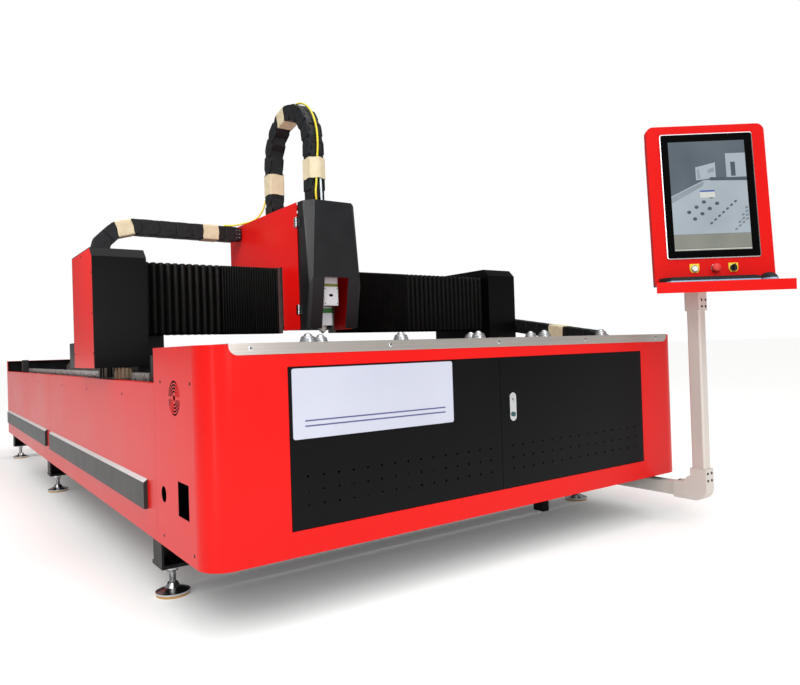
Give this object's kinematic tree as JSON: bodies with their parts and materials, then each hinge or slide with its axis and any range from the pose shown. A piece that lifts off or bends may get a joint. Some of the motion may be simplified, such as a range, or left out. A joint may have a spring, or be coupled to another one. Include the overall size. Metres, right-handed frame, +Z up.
{
  "type": "laser cutting machine",
  "caption": "Flat-bed sheet laser cutter: slatted bed with a front cabinet, rail-guided gantry with bellows, cross carriage, lifting cutting head, cable chains and a swivel console.",
  "frame": {"origin": "on the floor under the middle of the machine's bounding box", "axes": "+Z up, -Y towards the front cabinet and the operator, +X to the operator's right where the console stands"},
  "size_m": [2.4892, 5.4524, 2.0443],
  "materials": {
    "red_paint": "satin",
    "black_paint": "satin",
    "stainless": "brushed",
    "machined": "satin",
    "gear_steel": "oiled",
    "felt": "matte",
    "chrome": "bright",
    "copper": "satin",
    "motor_black": "matte",
    "source_grey": "satin",
    "rubber": "matte",
    "bellows_cloth": "coated",
    "fibre_jacket": "satin",
    "screen_glass": "gloss",
    "white_plastic": "gloss",
    "red_plastic": "gloss"
  },
  "bodies": {
    "bed": {"side_beams": "black_paint", "legs": "black_paint", "levelling_feet": "chrome", "front_cabinet": "red_paint", "top_trim": "stainless", "side_panels": "red_paint", "side_strips": "black_paint", "rear_panel": "red_paint", "slats": "stainless", "slag_tray": "black_paint", "ball_units": "stainless", "y_rails": "stainless", "y_racks": "stainless", "rail_stops": "rubber", "laser_source": "source_grey", "servo_drives": "motor_black", "fan_frame": "motor_black", "arm_tubes": "machined", "arm_castings": "machined", "y_tray": "black_paint", "y_chain": "motor_black"},
    "fan_rotor": {"fan_rotor": "motor_black"},
    "left_door": {"left_door": "black_paint"},
    "right_door": {"right_door": "black_paint", "lock_plate": "stainless"},
    "lock_button": {"lock_button": "motor_black"},
    "gantry": {"beam": "black_paint", "x_rails": "stainless", "x_rack": "stainless", "end_plates": "red_paint", "end_covers": "black_paint", "y_motors": "motor_black", "saddles": "black_paint", "chain_tray": "black_paint", "left_bellows": "bellows_cloth", "right_bellows": "bellows_cloth", "x_chain": "motor_black"},
    "left_drive_pinion": {"left_drive_pinion": "gear_steel"},
    "right_drive_pinion": {"right_drive_pinion": "gear_steel"},
    "left_felt_pinion": {"left_felt_pinion": "felt"},
    "right_felt_pinion": {"right_felt_pinion": "felt"},
    "carriage": {"carriage_plate": "machined", "head_housing": "red_paint", "head_motors": "motor_black", "arch_chain": "motor_black", "fibre": "fibre_jacket", "cover_hinges": "chrome"},
    "x_pinion": {"x_pinion": "gear_steel"},
    "z_screw": {"z_screw": "gear_steel"},
    "z_slide": {"z_plate": "machined", "cutting_head": "machined", "nozzle": "copper"},
    "head_cover": {"head_cover": "black_paint"},
    "console": {"console_housing": "red_paint", "screen": "screen_glass", "console_tray": "red_paint", "keyboard": "motor_black"},
    "start_button": {"start_button": "white_plastic"},
    "stop_button": {"stop_button": "red_plastic"},
    "selector_knob": {"selector_knob": "motor_black"}
  },
  "joints": [
    {"name": "fan_spin", "type": "hinge", "parent": "bed", "child": "fan_rotor", "pos_m": [-1.17565, -1.91976, 0.681], "axis": [1, 0, 0], "continuous": true},
    {"name": "left_door_hinge", "type": "hinge", "parent": "bed", "child": "left_door", "pos_m": [-0.91865, -2.17376, 0.522], "axis": [0, 0, -1], "range_deg": [0, 105]},
    {"name": "right_door_hinge", "type": "hinge", "parent": "bed", "child": "right_door", "pos_m": [0.80535, -2.17376, 0.522], "axis": [0, 0, 1], "range_deg": [0, 100]},
    {"name": "lock_press", "type": "slide", "parent": "right_door", "child": "lock_button", "axis": [0, 1, 0], "range_m": [0, 0.003], "stiffness_N_per_m": 800, "springref_m": -0.001},
    {"name": "gantry_slide", "type": "slide", "parent": "bed", "child": "gantry", "axis": [0, 1, 0], "range_m": [-0.38, 2.67], "deforming": ["y_chain"]},
    {"name": "left_drive_spin", "type": "hinge", "parent": "gantry", "child": "left_drive_pinion", "pos_m": [-1.12865, -0.80376, 0.747], "axis": [0, 0, 1], "continuous": true},
    {"name": "right_drive_spin", "type": "hinge", "parent": "gantry", "child": "right_drive_pinion", "pos_m": [0.97135, -0.80376, 0.747], "axis": [0, 0, 1], "continuous": true},
    {"name": "left_felt_spin", "type": "hinge", "parent": "gantry", "child": "left_felt_pinion", "pos_m": [-1.12865, -1.10221, 0.747], "axis": [0, 0, 1], "continuous": true},
    {"name": "right_felt_spin", "type": "hinge", "parent": "gantry", "child": "right_felt_pinion", "pos_m": [0.97135, -1.10221, 0.747], "axis": [0, 0, 1], "continuous": true},
    {"name": "carriage_slide", "type": "slide", "parent": "gantry", "child": "carriage", "axis": [1, 0, 0], "range_m": [-0.52, 0.87], "deforming": ["left_bellows", "right_bellows", "x_chain"]},
    {"name": "x_pinion_spin", "type": "hinge", "parent": "carriage", "child": "x_pinion", "pos_m": [-0.27115, -0.70376, 1.167], "axis": [0, 0, 1], "continuous": true},
    {"name": "z_lift", "type": "slide", "parent": "carriage", "child": "z_slide", "axis": [0, 0, 1], "range_m": [-0.08, 0.035], "deforming": ["fibre"]},
    {"name": "screw_spin", "type": "hinge", "parent": "carriage", "child": "z_screw", "pos_m": [-0.27115, -1.12376, 1.1], "axis": [0, 0, 1], "continuous": true},
    {"name": "cover_hinge", "type": "hinge", "parent": "carriage", "child": "head_cover", "pos_m": [-0.41265, -1.26876, 1.2], "axis": [0, 0, -1], "range_deg": [0, 100]},
    {"name": "console_swivel", "type": "hinge", "parent": "bed", "child": "console", "pos_m": [0.97635, -2.34376, 1.02], "axis": [0, 0, 1], "range_deg": [-70, 70]},
    {"name": "start_press", "type": "slide", "parent": "console", "child": "start_button", "axis": [0.6037, 0.7924, -0.0872], "range_m": [0, 0.004], "stiffness_N_per_m": 700, "springref_m": -0.001},
    {"name": "stop_press", "type": "slide", "parent": "console", "child": "stop_button", "axis": [0.6037, 0.7924, -0.0872], "range_m": [0, 0.005], "stiffness_N_per_m": 900, "springref_m": -0.001},
    {"name": "selector_turn", "type": "hinge", "parent": "console", "child": "selector_knob", "pos_m": [1.01545, -2.49706, 1.10975], "axis": [-0.6037, -0.7924, 0.0872], "range_deg": [-45, 45]}
  ],
  "couplings": [
    {"joint": "left_drive_spin", "follows": "gantry_slide", "rad_per_m": -33.333},
    {"joint": "left_felt_spin", "follows": "gantry_slide", "rad_per_m": -33.333},
    {"joint": "right_drive_spin", "follows": "gantry_slide", "rad_per_m": 33.333},
    {"joint": "right_felt_spin", "follows": "gantry_slide", "rad_per_m": 33.333},
    {"joint": "x_pinion_spin", "follows": "carriage_slide", "rad_per_m": -33.333},
    {"joint": "screw_spin", "follows": "z_lift", "rad_per_m": 628.32}
  ]
}
